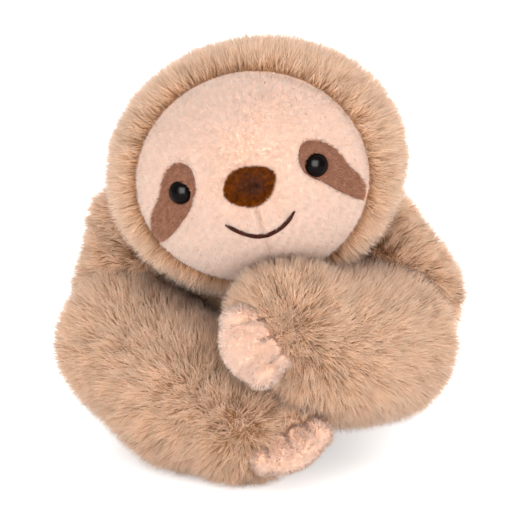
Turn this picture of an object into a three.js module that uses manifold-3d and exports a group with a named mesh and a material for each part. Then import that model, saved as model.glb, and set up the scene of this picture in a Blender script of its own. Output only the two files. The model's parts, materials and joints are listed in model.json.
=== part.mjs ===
// A seated plush sloth with its arms folded in front of it.
// Millimetres, +Z up, the sloth faces -Y, and left and right are the sloth's own (its left is +X).
// Every stuffed form is a sewn cover with an opening and a filling that fits inside it.

import * as THREE from 'three';
import * as BufferGeometryUtils from 'three/addons/utils/BufferGeometryUtils.js';
import Module from 'manifold-3d';

const wasm = await Module();
wasm.setup();

// Fabric and clearances
const coverWall = 2.4;
const layerGap = 0.3;
const restCut = 0.5;
const openingRadius = 11;
const liningGap = 0.6;
const turnPlay = 2.5;
const weldReach = 0.0001;
const formSides = 12;
const headSides = 16;
const toeSides = 8;
const roundSides = 10;
const ringShare = 0.6;
const capRings = 3;
const spanRings = 4;

// Head, an ellipsoid set over the neck and tilted towards the sloth's right
const headHalfWidth = 71;
const headHalfDepth = 54;
const headHalfHeight = 59;
const headPlace = [1, -47, 148];
const headPitch = -8;
const headRoll = -13;
const headYaw = -3.3;
const neckRadius = 21;
const neckPlay = 0.9;
const neckSide = -7;
const neckBack = 20;
const neckDrop = 47;
const headRoom = 8;
const turnRange = 12;
const nodRange = 6;

// Face panel, eye patches and features, in the head's own frame
const faceHalfWidth = 58.5;
const faceHalfHeight = 53;
const faceDrop = 2;
const dartWidth = 0.6;
const seamSide = 1.8;
const patchWidth = 30;
const patchHeight = 38;
const patchSide = 0.345 * headHalfWidth;
const patchTop = 14.5;
const eyeSide = 0.485 * headHalfWidth;
const eyeDrop = -1;
const eyeRadius = 6;
const eyeProud = 3.6;
const shankRadius = 1.6;
const shankLength = 11;
const washerRadius = 6.5;
const washerThick = 1.6;
const washerSink = 2.2;
const noseHalfWidth = 13;
const noseHalfHeight = 10;
const noseHalfDepth = 6;
const noseDrop = 2;
const mouthHalfWidth = 17.5;
const mouthDrop = 29;
const mouthRise = 9;
const threadRadius = 0.8;
const mouthLiftShare = 0.35;

// Torso, neck and the bag of pellets in the seat
const torsoHalfWidth = 53;
const torsoHalfDepth = 42;
const torsoHeight = 114;
const torsoBack = 0;
const torsoSquareness = 3;
const pelletBagRadius = 24;
const pelletBagHeight = 26;
const pelletBagFloor = 8;

// Arms: centres and radii of shoulder, upper arm, elbow, forearm and wrist
const rightShoulder = [-61, -9, 103];
const rightUpperEnd = [-60, -25, 68];
const rightElbow = [-64, -47, 54];
const rightForearm = [-31, -77, 36.5];
const rightWrist = [-7, -98.5, 25.4];
const leftShoulder = [59, -9, 102];
const leftUpperEnd = [72, -27, 72];
const leftElbow = [62, -52, 56];
const leftForearm = [38, -83, 64.5];
const leftWrist = [13, -99, 81];
const shoulderRadius = 21;
const upperEndRadius = 27;
const rightElbowRadius = 31;
const leftElbowRadius = 34;
const forearmRadius = 36;
const rightWristRadius = 26;
const leftWristRadius = 28;
const shoulderRange = 20;

// Paws: four toes side by side along the wrist seam
const toeCount = 4;
const outerToeShare = 0.2;
const toeReachShare = 0.67;
const toeRadius = 7;
const toeLength = 18;
const toeSpacing = 8;
const toeFan = 10;
const palmRadius = 20;
const palmShare = -0.12;
const rightPaw = [14.2, -110.8, 29];
const rightPawAngles = [33, -25.4, 8.9];
const leftPaw = [7.2, -121, 81.4];
const leftPawAngles = [48, 59.1, -32.9];

// Legs, folded behind the elbows, with a foot at the end of each
const hipSide = 36;
const hipBack = 17;
const hipRadius = 22;
const hipPlay = 0.9;
const ankleSide = 60;
const ankleBack = 19;
const ankleRadius = 17;
const footSide = 74;
const footRadius = 8;
const footLength = 11;
const footSpacing = 8;
const heelShare = 0.25;
const legRange = 15;
const quarterTurn = 90;

// Finishes
const furColour = 0xd3a582;
const plushColour = 0xf7d3bd;
const patchColour = 0xa8775a;
const noseColour = 0x5a2411;
const threadColour = 0x4a1c10;
const beadColour = 0x0d0b0c;
const fillingColour = 0xf4f1ea;
const pelletColour = 0xe6e2d6;
const washerColour = 0xf2f2f0;

// Solids and meshes

function weld(geometry) {
  const bare = geometry.clone();
  bare.deleteAttribute('normal');
  bare.deleteAttribute('uv');
  return BufferGeometryUtils.mergeVertices(bare, weldReach);
}

function solidOf(geometry) {
  const shared = weld(geometry);
  return new wasm.Manifold(new wasm.Mesh({
    numProp: 3,
    vertProperties: Float32Array.from(shared.attributes.position.array),
    triVerts: Uint32Array.from(shared.index.array),
  }));
}

function geometryOf(solid) {
  const mesh = solid.getMesh();
  const geometry = new THREE.BufferGeometry();
  geometry.setAttribute('position', new THREE.BufferAttribute(Float32Array.from(mesh.vertProperties), 3));
  geometry.setIndex(new THREE.BufferAttribute(Uint32Array.from(mesh.triVerts), 1));
  geometry.computeVertexNormals();
  return geometry;
}

function material(color, roughness, metalness = 0) {
  return new THREE.MeshStandardMaterial({ color, roughness, metalness });
}

function addPiece(parent, name, shape, finish) {
  const geometry = shape instanceof THREE.BufferGeometry ? shape : geometryOf(shape);
  const mesh = new THREE.Mesh(geometry, finish);
  mesh.name = name;
  parent.add(mesh);
  return mesh;
}

function degrees(list) {
  return list.map((angle) => THREE.MathUtils.degToRad(angle));
}

function ellipsoid(rx, ry, rz, sides = formSides) {
  const geometry = new THREE.SphereGeometry(1, sides, Math.round(sides * ringShare));
  geometry.rotateX(Math.PI / 2);
  geometry.scale(rx, ry, rz);
  return geometry;
}

function movedEllipsoid(rx, ry, rz, place, sides = formSides) {
  const geometry = ellipsoid(rx, ry, rz, sides);
  geometry.translate(...place);
  return solidOf(geometry);
}

function turned(solid, matrix) {
  const geometry = geometryOf(solid);
  geometry.applyMatrix4(matrix);
  return solidOf(geometry);
}

function turnAbout(point, axis, angle) {
  const matrix = new THREE.Matrix4().makeTranslation(...point);
  const direction = new THREE.Vector3(...axis).normalize();
  matrix.multiply(new THREE.Matrix4().makeRotationAxis(direction, THREE.MathUtils.degToRad(angle)));
  matrix.multiply(new THREE.Matrix4().makeTranslation(...point.map((value) => -value)));
  return matrix;
}

function swept(solid, point, axis, angle) {
  return solid.add(turned(solid, turnAbout(point, axis, angle)));
}

// A stuffed limb: rings along a smooth centre line, with a rounded end at each centre given.
// Grown by a margin it is the space the limb needs, and shrunk by one it is its lining.

function limb(centres, radii, margin = 0) {
  const points = centres.map((centre) => new THREE.Vector3(...centre));
  const line = new THREE.CatmullRomCurve3(points);
  const across = new THREE.Vector3(0, 0, 1);
  const rings = [];
  const ringAt = (share, along, radius) => {
    const tangent = line.getTangent(share);
    const side = new THREE.Vector3().crossVectors(tangent, across).normalize();
    const rise = new THREE.Vector3().crossVectors(side, tangent).normalize();
    const centre = line.getPoint(share).addScaledVector(tangent, along);
    rings.push({ centre, side, rise, radius });
  };
  const radiusAt = (share) => {
    const place = share * (radii.length - 1);
    const first = Math.min(Math.floor(place), radii.length - 2);
    const part = place - first;
    const ease = part * part * (3 - 2 * part);
    return radii[first] + (radii[first + 1] - radii[first]) * ease + margin;
  };
  for (let i = 1; i <= capRings; i += 1) {
    const angle = (Math.PI / 2) * (i / (capRings + 1));
    ringAt(0, -radiusAt(0) * Math.cos(angle), radiusAt(0) * Math.sin(angle));
  }
  for (let i = 0; i <= spanRings; i += 1) {
    ringAt(i / spanRings, 0, radiusAt(i / spanRings));
  }
  for (let i = capRings; i >= 1; i -= 1) {
    const angle = (Math.PI / 2) * (i / (capRings + 1));
    ringAt(1, radiusAt(1) * Math.cos(angle), radiusAt(1) * Math.sin(angle));
  }
  return loft(rings, tip(line, 0, -radiusAt(0)), tip(line, 1, radiusAt(1)));
}

function tip(line, share, along) {
  return line.getPoint(share).addScaledVector(line.getTangent(share), along);
}

function loft(rings, first, last) {
  const positions = [...first.toArray()];
  for (const ring of rings) {
    for (let i = 0; i < formSides; i += 1) {
      const angle = (2 * Math.PI * i) / formSides;
      const point = ring.centre.clone();
      point.addScaledVector(ring.side, ring.radius * Math.cos(angle));
      point.addScaledVector(ring.rise, ring.radius * Math.sin(angle));
      positions.push(...point.toArray());
    }
  }
  positions.push(...last.toArray());
  const lastIndex = positions.length / 3 - 1;
  const faces = [];
  for (let i = 0; i < formSides; i += 1) {
    const next = (i + 1) % formSides;
    faces.push(0, 1 + i, 1 + next);
    for (let ring = 0; ring < rings.length - 1; ring += 1) {
      const near = 1 + ring * formSides;
      const far = near + formSides;
      faces.push(near + i, far + i, near + next);
      faces.push(near + next, far + i, far + next);
    }
    const end = 1 + (rings.length - 1) * formSides;
    faces.push(end + i, lastIndex, end + next);
  }
  const geometry = new THREE.BufferGeometry();
  geometry.setAttribute('position', new THREE.Float32BufferAttribute(positions, 3));
  geometry.setIndex(faces);
  const solid = solidOf(geometry);
  return solid.volume() > 0 ? solid : solidOf(flipped(geometry));
}

function flipped(geometry) {
  const index = Array.from(geometry.index.array);
  for (let i = 0; i < index.length; i += 3) {
    [index[i], index[i + 1]] = [index[i + 1], index[i]];
  }
  geometry.setIndex(index);
  return geometry;
}

// The room above the floor, which cuts each resting form flat

function boxSolid(width, depth, height, place) {
  const geometry = new THREE.BoxGeometry(width, depth, height);
  geometry.translate(...place);
  return solidOf(geometry);
}

const roomSize = 8 * headHalfWidth;
const room = boxSolid(roomSize, roomSize, roomSize, [0, 0, roomSize / 2]);

// A plug between two points: it makes the opening that a cover is turned and filled through

function plug(from, towards, radius, length) {
  const start = new THREE.Vector3(...from);
  const direction = new THREE.Vector3(...towards).sub(start).normalize();
  const geometry = new THREE.CylinderGeometry(radius, radius, length, formSides);
  geometry.translate(0, length / 2, 0);
  const turn = new THREE.Quaternion().setFromUnitVectors(new THREE.Vector3(0, 1, 0), direction);
  geometry.applyQuaternion(turn);
  geometry.translate(...from);
  return solidOf(geometry);
}

function biggest(solid) {
  const bodies = solid.decompose();
  return bodies.reduce((best, body) => (body.volume() > best.volume() ? body : best));
}

const upAxis = [0, 0, 1];
const sloth = new THREE.Group();
const fur = material(furColour, 0.95);
const plush = material(plushColour, 0.9);
const filling = material(fillingColour, 1);

// Neck and head places

const headTurn = new THREE.Euler(...degrees([headPitch, headRoll, headYaw]), 'ZYX');
const headMatrix = new THREE.Matrix4().compose(
  new THREE.Vector3(...headPlace),
  new THREE.Quaternion().setFromEuler(headTurn),
  new THREE.Vector3(1, 1, 1),
);
const neckInHead = [neckSide, neckBack, -neckDrop];
const neckPlace = new THREE.Vector3(...neckInHead).applyMatrix4(headMatrix).toArray();

function headForm(margin, sides = headSides) {
  return solidOf(ellipsoid(
    headHalfWidth + margin, headHalfDepth + margin, headHalfHeight + margin, sides,
  ));
}

const headSpace = turned(headForm(headRoom, formSides), headMatrix);

// Head: hood, face panel with its dart, eye patches and filling

function outlinePrism(shape, margin) {
  const geometry = new THREE.ExtrudeGeometry(shape, {
    depth: headHalfDepth + 2 * margin + coverWall,
    bevelEnabled: false,
    curveSegments: roundSides,
  });
  geometry.rotateX(Math.PI / 2);
  return solidOf(geometry);
}

function faceShape(margin) {
  const shape = new THREE.Shape();
  shape.absellipse(0, -faceDrop, faceHalfWidth + margin, faceHalfHeight + margin, 0, 2 * Math.PI);
  return shape;
}

const patchShares = [
  [0, 0.8], [0.1, 0.98], [0.36, 1], [0.62, 0.84], [0.78, 0.62], [1, 0.34],
  [1.06, 0.06], [0.92, 0], [0.68, 0.08], [0.38, 0.3], [0.12, 0.46], [0, 0.62],
];

function patchShape(side, margin) {
  const middle = [patchSide + patchWidth / 2, patchTop - patchHeight / 2];
  const grow = 1 + margin / patchWidth;
  const points = patchShares.map(([across, up]) => new THREE.Vector2(
    side * (middle[0] + (across - 0.5) * patchWidth * grow),
    middle[1] + (up - 0.5) * patchHeight * grow,
  ));
  const outline = new THREE.SplineCurve([...points, points[0]]);
  const shape = new THREE.Shape(outline.getPoints(patchShares.length).slice(0, -1));
  return shape;
}

function frontOf(x, z, margin = 0) {
  const a = x / (headHalfWidth + margin);
  const b = z / (headHalfHeight + margin);
  const y = -(headHalfDepth + margin) * Math.sqrt(1 - a * a - b * b);
  return new THREE.Vector3(x, y, z);
}

// The seat of a feature: where a line from the front meets the faceted head, and that facet's normal
const headTarget = new THREE.Mesh(geometryOf(headForm(0)), material(furColour, 1));

function seatAt(x, z) {
  const start = new THREE.Vector3(x, -2 * headHalfDepth, z);
  const hits = new THREE.Raycaster(start, new THREE.Vector3(0, 1, 0)).intersectObject(headTarget);
  return { point: hits[0].point, outward: hits[0].face.normal };
}

function lathe(outline, sides) {
  return new THREE.LatheGeometry(outline.map(([r, z]) => new THREE.Vector2(r, z)), sides);
}

const headGroup = new THREE.Group();
headGroup.position.set(...headPlace);
headGroup.rotation.copy(headTurn);
sloth.add(headGroup);

const neckReach = neckRadius + neckPlay;
const neckSocket = movedEllipsoid(neckReach, neckReach, neckReach, neckInHead, headSides);
const headShell = headForm(0).subtract(headForm(-coverWall)).subtract(neckSocket);
const hood = headShell.subtract(outlinePrism(faceShape(layerGap), coverWall));
addPiece(headGroup, 'head_hood', biggest(hood), fur);

const dart = boxSolid(
  dartWidth, 2 * headHalfDepth, 2 * faceHalfHeight,
  [seamSide, -headHalfDepth, -faceHalfHeight - noseDrop],
);
let face = headShell.intersect(outlinePrism(faceShape(0), coverWall)).subtract(dart);
for (const side of [-1, 1]) {
  const name = side > 0 ? 'left' : 'right';
  face = face.subtract(outlinePrism(patchShape(side, layerGap), coverWall));
  const patch = headShell
    .intersect(outlinePrism(faceShape(0), coverWall))
    .intersect(outlinePrism(patchShape(side, -layerGap), coverWall));
  const { point: eyePoint, outward } = seatAt(side * eyeSide, -eyeDrop);
  const eyeTurn = new THREE.Quaternion().setFromUnitVectors(new THREE.Vector3(0, 1, 0), outward);
  const shankHole = plug(
    eyePoint.clone().addScaledVector(outward, -shankLength).toArray(), eyePoint.toArray(),
    shankRadius + layerGap, 2 * shankLength,
  );
  addPiece(headGroup, `eye_patch_${name}`, biggest(patch.subtract(shankHole)), material(patchColour, 0.9));

  const eyeOutline = [[0, -shankLength], [shankRadius, -shankLength], [shankRadius, layerGap]];
  const domeSteps = 4;
  for (let i = 0; i <= domeSteps; i += 1) {
    const angle = (Math.PI / 2) * (i / domeSteps);
    eyeOutline.push([eyeRadius * Math.cos(angle), layerGap + eyeProud * Math.sin(angle)]);
  }
  const eyeBack = [0, 1, 2].map((index) => eyeOutline[index]);
  const eye = addPiece(
    headGroup, `eye_${name}`,
    lathe([...eyeBack, ...eyeOutline.slice(3, -1), [0, layerGap + eyeProud]], roundSides),
    material(beadColour, 0.08),
  );
  eye.position.copy(eyePoint).addScaledVector(outward, layerGap);
  eye.quaternion.copy(eyeTurn);

  const washerHole = shankRadius + layerGap;
  const washer = addPiece(
    headGroup, `eye_washer_${name}`,
    lathe([
      [washerHole, 0], [washerRadius, 0], [washerRadius, washerThick], [washerHole, washerThick], [washerHole, 0],
    ], roundSides),
    material(washerColour, 0.5),
  );
  washer.position.copy(eyePoint).addScaledVector(outward, -coverWall - washerSink - washerThick);
  washer.quaternion.copy(eyeTurn);
}
addPiece(headGroup, 'face_panel', biggest(face), plush);

let headCore = headForm(-coverWall - layerGap).subtract(neckSocket);
for (const side of [-1, 1]) {
  const { point: eyePoint, outward } = seatAt(side * eyeSide, -eyeDrop);
  const deep = eyePoint.clone().addScaledVector(outward, -shankLength - layerGap);
  headCore = headCore.subtract(plug(
    deep.toArray(), eyePoint.toArray(), washerRadius + layerGap, shankLength + coverWall,
  ));
}
addPiece(headGroup, 'head_filling', biggest(headCore), filling);

const nosePlace = frontOf(seamSide, -noseDrop);
const nose = movedEllipsoid(noseHalfWidth, noseHalfDepth, noseHalfHeight, nosePlace.toArray())
  .subtract(headForm(layerGap));
addPiece(headGroup, 'nose', biggest(nose), material(noseColour, 0.85));

const mouthSteps = 8;
const mouthLift = layerGap + threadRadius * mouthLiftShare;
const mouthPoints = [];
for (let i = 0; i <= mouthSteps; i += 1) {
  const across = (2 * i) / mouthSteps - 1;
  const drop = mouthDrop - mouthRise * across * across;
  mouthPoints.push(frontOf(seamSide + mouthHalfWidth * across, -drop, mouthLift));
}
const threadShape = new THREE.Shape();
threadShape.absellipse(0, 0, threadRadius, threadRadius, 0, 2 * Math.PI);
addPiece(headGroup, 'mouth_stitching', new THREE.ExtrudeGeometry(threadShape, {
  extrudePath: new THREE.CatmullRomCurve3(mouthPoints),
  steps: 2 * mouthSteps,
  curveSegments: 3,
}), material(threadColour, 0.8));

// Neck: the ball of filling drawn in by the neck seam, which the head turns and nods on

addPiece(
  sloth, 'neck_filling', movedEllipsoid(neckRadius, neckRadius, neckRadius, neckPlace, headSides), filling,
);

// Arms and legs, each a cover with an opening at its root and a filling inside

function stuffedForm(name, form, cutters, opening) {
  let cover = form(0).subtract(form(-coverWall)).intersect(room).subtract(opening);
  let core = form(-coverWall - liningGap).intersect(room);
  for (const cutter of cutters) {
    cover = cover.subtract(cutter);
    core = core.subtract(cutter);
  }
  addPiece(sloth, `${name}_cover`, biggest(cover), fur);
  addPiece(sloth, `${name}_filling`, biggest(core), filling);
}

const arms = [
  {
    name: 'left', outward: 1, shoulder: leftShoulder, upperEnd: leftUpperEnd, elbow: leftElbow,
    elbowRadius: leftElbowRadius, forearm: leftForearm, wrist: leftWrist, wristRadius: leftWristRadius,
    paw: leftPaw, pawAngles: leftPawAngles,
  },
  {
    name: 'right', outward: -1, shoulder: rightShoulder, upperEnd: rightUpperEnd, elbow: rightElbow,
    elbowRadius: rightElbowRadius, forearm: rightForearm, wrist: rightWrist, wristRadius: rightWristRadius,
    paw: rightPaw, pawAngles: rightPawAngles,
  },
];

function forearmForm(arm, margin) {
  return limb([arm.elbow, arm.forearm, arm.wrist], [arm.elbowRadius, forearmRadius, arm.wristRadius], margin);
}

function upperForm(arm, margin) {
  return limb([arm.shoulder, arm.upperEnd], [shoulderRadius, upperEndRadius], margin);
}

function pawMatrix(paw) {
  return new THREE.Matrix4().compose(
    new THREE.Vector3(...paw.place),
    new THREE.Quaternion().setFromEuler(new THREE.Euler(...degrees(paw.turn), 'ZYX')),
    new THREE.Vector3(1, 1, 1),
  );
}

function pawPalm(paw, margin) {
  return movedEllipsoid(
    (toeCount * paw.spacing) / 2 + margin, paw.palm + margin, paw.radius + margin,
    [0, paw.length * paw.palmShare, 0], roundSides,
  );
}

function pawForm(paw) {
  let solid = pawPalm(paw, 0);
  for (let i = 0; i < toeCount; i += 1) {
    const fromMiddle = i - (toeCount - 1) / 2;
    const reach = paw.length * toeReachShare * (1 - outerToeShare * Math.abs(fromMiddle));
    const toe = movedEllipsoid(
      paw.radius, reach, paw.radius, [fromMiddle * paw.spacing, -paw.length * toeReachShare, 0], toeSides,
    );
    solid = solid.add(turned(toe, turnAbout([0, paw.length / 2, 0], upAxis, toeFan * fromMiddle)));
  }
  return turned(solid, pawMatrix(paw));
}

function addPaw(name, paw, cuff) {
  const lining = (margin) => turned(pawPalm(paw, margin), pawMatrix(paw));
  const cover = pawForm(paw).subtract(lining(-coverWall)).subtract(cuff).intersect(room);
  const core = lining(-coverWall - layerGap).subtract(cuff).intersect(room);
  addPiece(sloth, `${name}_cover`, biggest(cover), plush);
  addPiece(sloth, `${name}_filling`, biggest(core), filling);
}

function elbowSpace(arm) {
  const reach = arm.elbowRadius + turnPlay;
  return forearmForm(arm, layerGap).add(movedEllipsoid(reach, reach, reach, arm.elbow));
}

const torsoCutters = [];
for (const arm of arms) {
  const headTurned = turned(headSpace, turnAbout(neckPlace, upAxis, arm.outward * turnRange));
  torsoCutters.push(elbowSpace(arm), upperForm(arm, turnPlay));
  stuffedForm(
    `forearm_${arm.name}`,
    (margin) => forearmForm(arm, margin),
    [],
    plug(arm.elbow, arm.upperEnd, openingRadius, 2 * arm.elbowRadius),
  );
  stuffedForm(
    `upper_arm_${arm.name}`,
    (margin) => upperForm(arm, margin),
    [elbowSpace(arm), swept(headSpace.add(headTurned), arm.shoulder, upAxis, -arm.outward * shoulderRange)],
    plug(arm.shoulder, [0, arm.shoulder[1], arm.shoulder[2]], openingRadius, 2 * shoulderRadius),
  );
  addPaw(`paw_${arm.name}`, {
    place: arm.paw, turn: arm.pawAngles, radius: toeRadius, length: toeLength, spacing: toeSpacing,
    palm: palmRadius, palmShare,
  }, forearmForm(arm, layerGap));
}

for (const side of [-1, 1]) {
  const name = side > 0 ? 'left' : 'right';
  const hip = [side * hipSide, hipBack, hipRadius - restCut];
  const ankle = [side * ankleSide, ankleBack, ankleRadius - restCut];
  const middle = hip.map((value, i) => (value + ankle[i]) / 2);
  const legForm = (margin) => limb([hip, middle, ankle], [hipRadius, (hipRadius + ankleRadius) / 2, ankleRadius], margin);
  stuffedForm(`leg_${name}`, legForm, [], plug(hip, [0, hip[1], hip[2]], openingRadius, 2 * hipRadius));
  const foot = pawForm({
    place: [side * footSide, ankleBack, footRadius + restCut], turn: [0, 0, side * quarterTurn],
    radius: footRadius, length: footLength, spacing: footSpacing, palm: footRadius, palmShare: heelShare,
  });
  addPiece(sloth, `foot_${name}`, biggest(foot.subtract(legForm(layerGap)).intersect(room)), plush);
  torsoCutters.push(swept(legForm(hipPlay), hip, upAxis, side * legRange));
}

// Torso: squared ellipsoid, cut flat where it sits, with room for everything that moves against it

function torsoForm(margin) {
  const rings = 8;
  const outline = [];
  for (let i = 0; i <= rings; i += 1) {
    const angle = Math.PI * (i / rings) - Math.PI / 2;
    const share = 2 / torsoSquareness;
    const r = i % rings === 0 ? 0 : Math.cos(angle) ** share;
    outline.push([r, Math.sign(Math.sin(angle)) * Math.abs(Math.sin(angle)) ** share]);
  }
  const geometry = lathe(outline, headSides);
  geometry.rotateX(Math.PI / 2);
  geometry.scale(
    torsoHalfWidth + margin, torsoHalfDepth + margin, (torsoHeight + restCut) / 2 + margin,
  );
  geometry.translate(0, torsoBack, (torsoHeight - restCut) / 2);
  return solidOf(geometry);
}

const neckHole = movedEllipsoid(neckReach, neckReach, neckReach, neckPlace, headSides);
torsoCutters.push(swept(headSpace, neckPlace, [-1, 0, 0], nodRange), neckHole);
let torsoCover = torsoForm(0).subtract(torsoForm(-coverWall)).intersect(room);
let torsoCore = torsoForm(-coverWall - layerGap).intersect(room);
for (const cutter of torsoCutters) {
  torsoCover = torsoCover.subtract(cutter);
  torsoCore = torsoCore.subtract(cutter);
}
addPiece(sloth, 'torso_cover', biggest(torsoCover), fur);

function bagForm(margin) {
  return movedEllipsoid(
    pelletBagRadius + margin, pelletBagRadius * (torsoHalfDepth / torsoHalfWidth) + margin,
    pelletBagHeight / 2 + margin, [0, torsoBack, pelletBagFloor + pelletBagHeight / 2],
  );
}

let bag = bagForm(0);
for (const cutter of torsoCutters) {
  bag = bag.subtract(cutter);
}
addPiece(sloth, 'pellet_bag', biggest(bag), material(pelletColour, 0.9));
const bagChannel = plug(
  [0, torsoBack, pelletBagFloor + pelletBagHeight / 2], [0, torsoBack, 0], openingRadius, pelletBagHeight,
);
addPiece(sloth, 'torso_filling', biggest(torsoCore.subtract(bagForm(layerGap)).subtract(bagChannel)), filling);

export default sloth;
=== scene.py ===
import json
import math

import bpy
import numpy as np
from mathutils import Matrix, Vector
from numpy.linalg import norm


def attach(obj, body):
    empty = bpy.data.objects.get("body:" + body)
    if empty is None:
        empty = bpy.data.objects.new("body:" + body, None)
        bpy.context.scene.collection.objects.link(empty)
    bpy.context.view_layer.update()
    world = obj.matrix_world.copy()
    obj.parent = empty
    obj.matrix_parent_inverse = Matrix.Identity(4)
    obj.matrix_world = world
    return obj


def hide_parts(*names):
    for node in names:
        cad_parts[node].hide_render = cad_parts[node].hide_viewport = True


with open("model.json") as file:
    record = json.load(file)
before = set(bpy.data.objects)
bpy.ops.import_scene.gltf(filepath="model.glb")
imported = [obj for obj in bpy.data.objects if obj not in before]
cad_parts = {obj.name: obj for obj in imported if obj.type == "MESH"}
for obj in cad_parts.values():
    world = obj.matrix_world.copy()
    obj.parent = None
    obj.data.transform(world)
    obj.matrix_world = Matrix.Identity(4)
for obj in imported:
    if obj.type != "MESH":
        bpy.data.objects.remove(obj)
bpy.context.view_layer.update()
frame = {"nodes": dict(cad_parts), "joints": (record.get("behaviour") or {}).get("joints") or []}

mm = 0.001
floorGap = 0.3 * mm

# Camera, lamps and floor
view = {
    "elevation": 18.0,  # degrees above the floor, read from how much of the arms' tops shows
    "distance": 6.0,  # m, a long lens from well back, as in a catalogue picture
    "target": (0.0, -0.060, 0.1046),
    "frameWidth": 0.255,  # m seen across the picture at the target
    "sensor": 36.0,  # mm
    "lampAim": (0, -0.04, 0.09),
    "floorSize": 8.0,
    "floorColour": "#F2F2F2",
    "floorGlow": 0.40,  # own light of the paper for the camera alone, so that it comes out white
    "skyStrength": 1.5,
    "roomStrength": 0.03,  # what polished parts mirror from in front, a dim room
}
lamps = {  # place in m, width in m, watts
    "key": ((-0.55, -1.22, 0.20), 0.8, 9.2),
    "fill": ((0.80, -1.15, 0.16), 1.0, 10.6),
    "top": ((0.05, 0.10, 1.30), 0.9, 2.2),
    "back": ((0.25, 1.20, 0.60), 1.0, 8.0),
    "glint": ((-0.02, -1.10, 0.74), 1.1, 170.0),  # seen in the beads alone
}


def toLinear(hexColour):
    parts = [int(hexColour[i:i + 2], 16) / 255 for i in (1, 3, 5)]
    return tuple(c / 12.92 if c <= 0.04045 else ((c + 0.055) / 1.055) ** 2.4 for c in parts) + (1.0,)


def node(tree, kind, settings=None, inputs=None, links=None, stops=()):
    made = tree.nodes.new("ShaderNode" + kind)
    for name, value in (settings or {}).items():
        setattr(made, name, value)
    for name, value in (inputs or {}).items():
        made.inputs[name].default_value = value
    for name, source in (links or {}).items():
        tree.links.new(source, made.inputs[name])
    if stops:
        points = made.color_ramp.elements
        while len(points) < len(stops):
            points.new(0.5)
        for point, (place, colour) in zip(points, stops):
            point.position = place
            point.color = toLinear(colour)
    return made


def newMaterial(name):
    material = bpy.data.materials.new(name)
    material.use_nodes = True
    material.node_tree.nodes.clear()
    return material, material.node_tree


# A texture in the piece's own metres, run through a colour ramp and, where it is felt, raised
def grainMaterial(name, texture, pattern, stops, finish, bump=None):
    material, tree = newMaterial(name)
    place = node(tree, "TexCoord")
    grain = node(tree, texture, inputs=pattern, links={"Vector": place.outputs["Object"]})
    shade = node(tree, "ValToRGB", links={"Fac": grain.outputs["Fac"]}, stops=stops)
    links = {"Base Color": shade.outputs["Color"]}
    if bump:
        raised = node(tree, "Bump", inputs=bump, links={"Height": grain.outputs["Fac"]})
        links["Normal"] = raised.outputs["Normal"]
    surface = node(tree, "BsdfPrincipled", inputs=finish, links=links)
    node(tree, "OutputMaterial", links={"Surface": surface.outputs[0]})
    return material


# Cloth under the pile, matte; its colours are a little darker than the pile's, painted shade of the depth
# between the strands
def backingMaterial(name, dark, light):
    return grainMaterial(name, "TexNoise", {"Scale": 900.0, "Detail": 3.0}, [(0.3, dark), (0.7, light)],
                         {"Roughness": 0.95, "Specular IOR Level": 0.1},
                         {"Strength": 0.4, "Distance": 0.6 * mm})


# Rayon or polyester thread: fine twisted plies with a dull shine, so the line reads as stitched
def threadMaterial(name, dark, light, roughness):
    return grainMaterial(name, "TexWave", {"Scale": 500.0, "Distortion": 0.6},
                         [(0.2, dark), (0.8, light)],
                         {"Roughness": roughness, "Specular IOR Level": 0.03},
                         {"Strength": 0.5, "Distance": 0.3 * mm})


# Pile: each strand's colour runs from a dark root to a pale tip, the dark root being painted shade deep in
# the pile, and it lets some light through, so that the surface looks soft and deep. The pile's map holds the
# strand's own level and the way along it.
def pileMaterial(name, stops, shadeRange, through, sheen=0.15, shine=0.08):
    material, tree = newMaterial(name)
    place = node(tree, "UVMap", {"uv_map": "OFBake"})
    parts = node(tree, "SeparateXYZ", links={"Vector": place.outputs["UV"]})
    # the ramp from dark root to pale tip paints the shade that falls deep in the pile
    along = node(tree, "ValToRGB", links={"Fac": parts.outputs["Y"]}, stops=stops)
    level = node(tree, "MapRange", inputs={"To Min": shadeRange[0], "To Max": shadeRange[1]},
                 links={"Value": parts.outputs["X"]})
    shade = node(tree, "VectorMath", {"operation": "SCALE"},
                 links={"Vector": along.outputs["Color"], "Scale": level.outputs["Result"]})
    surface = node(tree, "BsdfPrincipled",
                   inputs={"Roughness": 0.75, "Specular IOR Level": shine, "Sheen Weight": sheen,
                           "Sheen Roughness": 0.5},
                   links={"Base Color": shade.outputs["Vector"]})
    passing = node(tree, "BsdfTranslucent", links={"Color": shade.outputs["Vector"]})
    both = node(tree, "MixShader", inputs={"Fac": through},
                links={1: surface.outputs[0], 2: passing.outputs[0]})
    node(tree, "OutputMaterial", links={"Surface": both.outputs[0]})
    return material


# Shapes and small sums


def placed(name, data):
    made = bpy.data.objects.new(name, data)
    bpy.context.scene.collection.objects.link(made)
    return made


def addMesh(name, points, faces, material, smooth=True):
    mesh = bpy.data.meshes.new(name)
    mesh.from_pydata([tuple(p) for p in points], [], faces)
    mesh.materials.append(material)
    mesh.polygons.foreach_set("use_smooth", [smooth] * len(mesh.polygons))
    mesh.update()
    return placed(name, mesh)


def numbers(rows, key, kind=float):
    found = np.empty(len(rows) * 3, kind)
    rows.foreach_get(key, found)
    return found.reshape(-1, 3)


def step(low, high, value):
    t = np.clip((value - low) / (high - low), 0, 1)
    return t * t * (3 - 2 * t)


def unit(rows):
    return rows / np.maximum(norm(rows, axis=1), 1e-9)[:, None]


def circle(sides):
    return np.linspace(0, 2 * math.pi, sides, endpoint=False)


def turnRows(degrees):
    pitch, roll, yaw = (Matrix.Rotation(math.radians(a), 3, axis) for a, axis in zip(degrees, "XYZ"))
    return np.array(yaw @ roll @ pitch)


def between(a, b, c, d, t):
    # the smooth curve from b to c, with a before it and d after it
    return 0.5 * (2 * b + (c - a) * t + (2 * a - 5 * b + 4 * c - d) * t ** 2
                  + (3 * b - a - 3 * c + d) * t ** 3)


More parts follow.
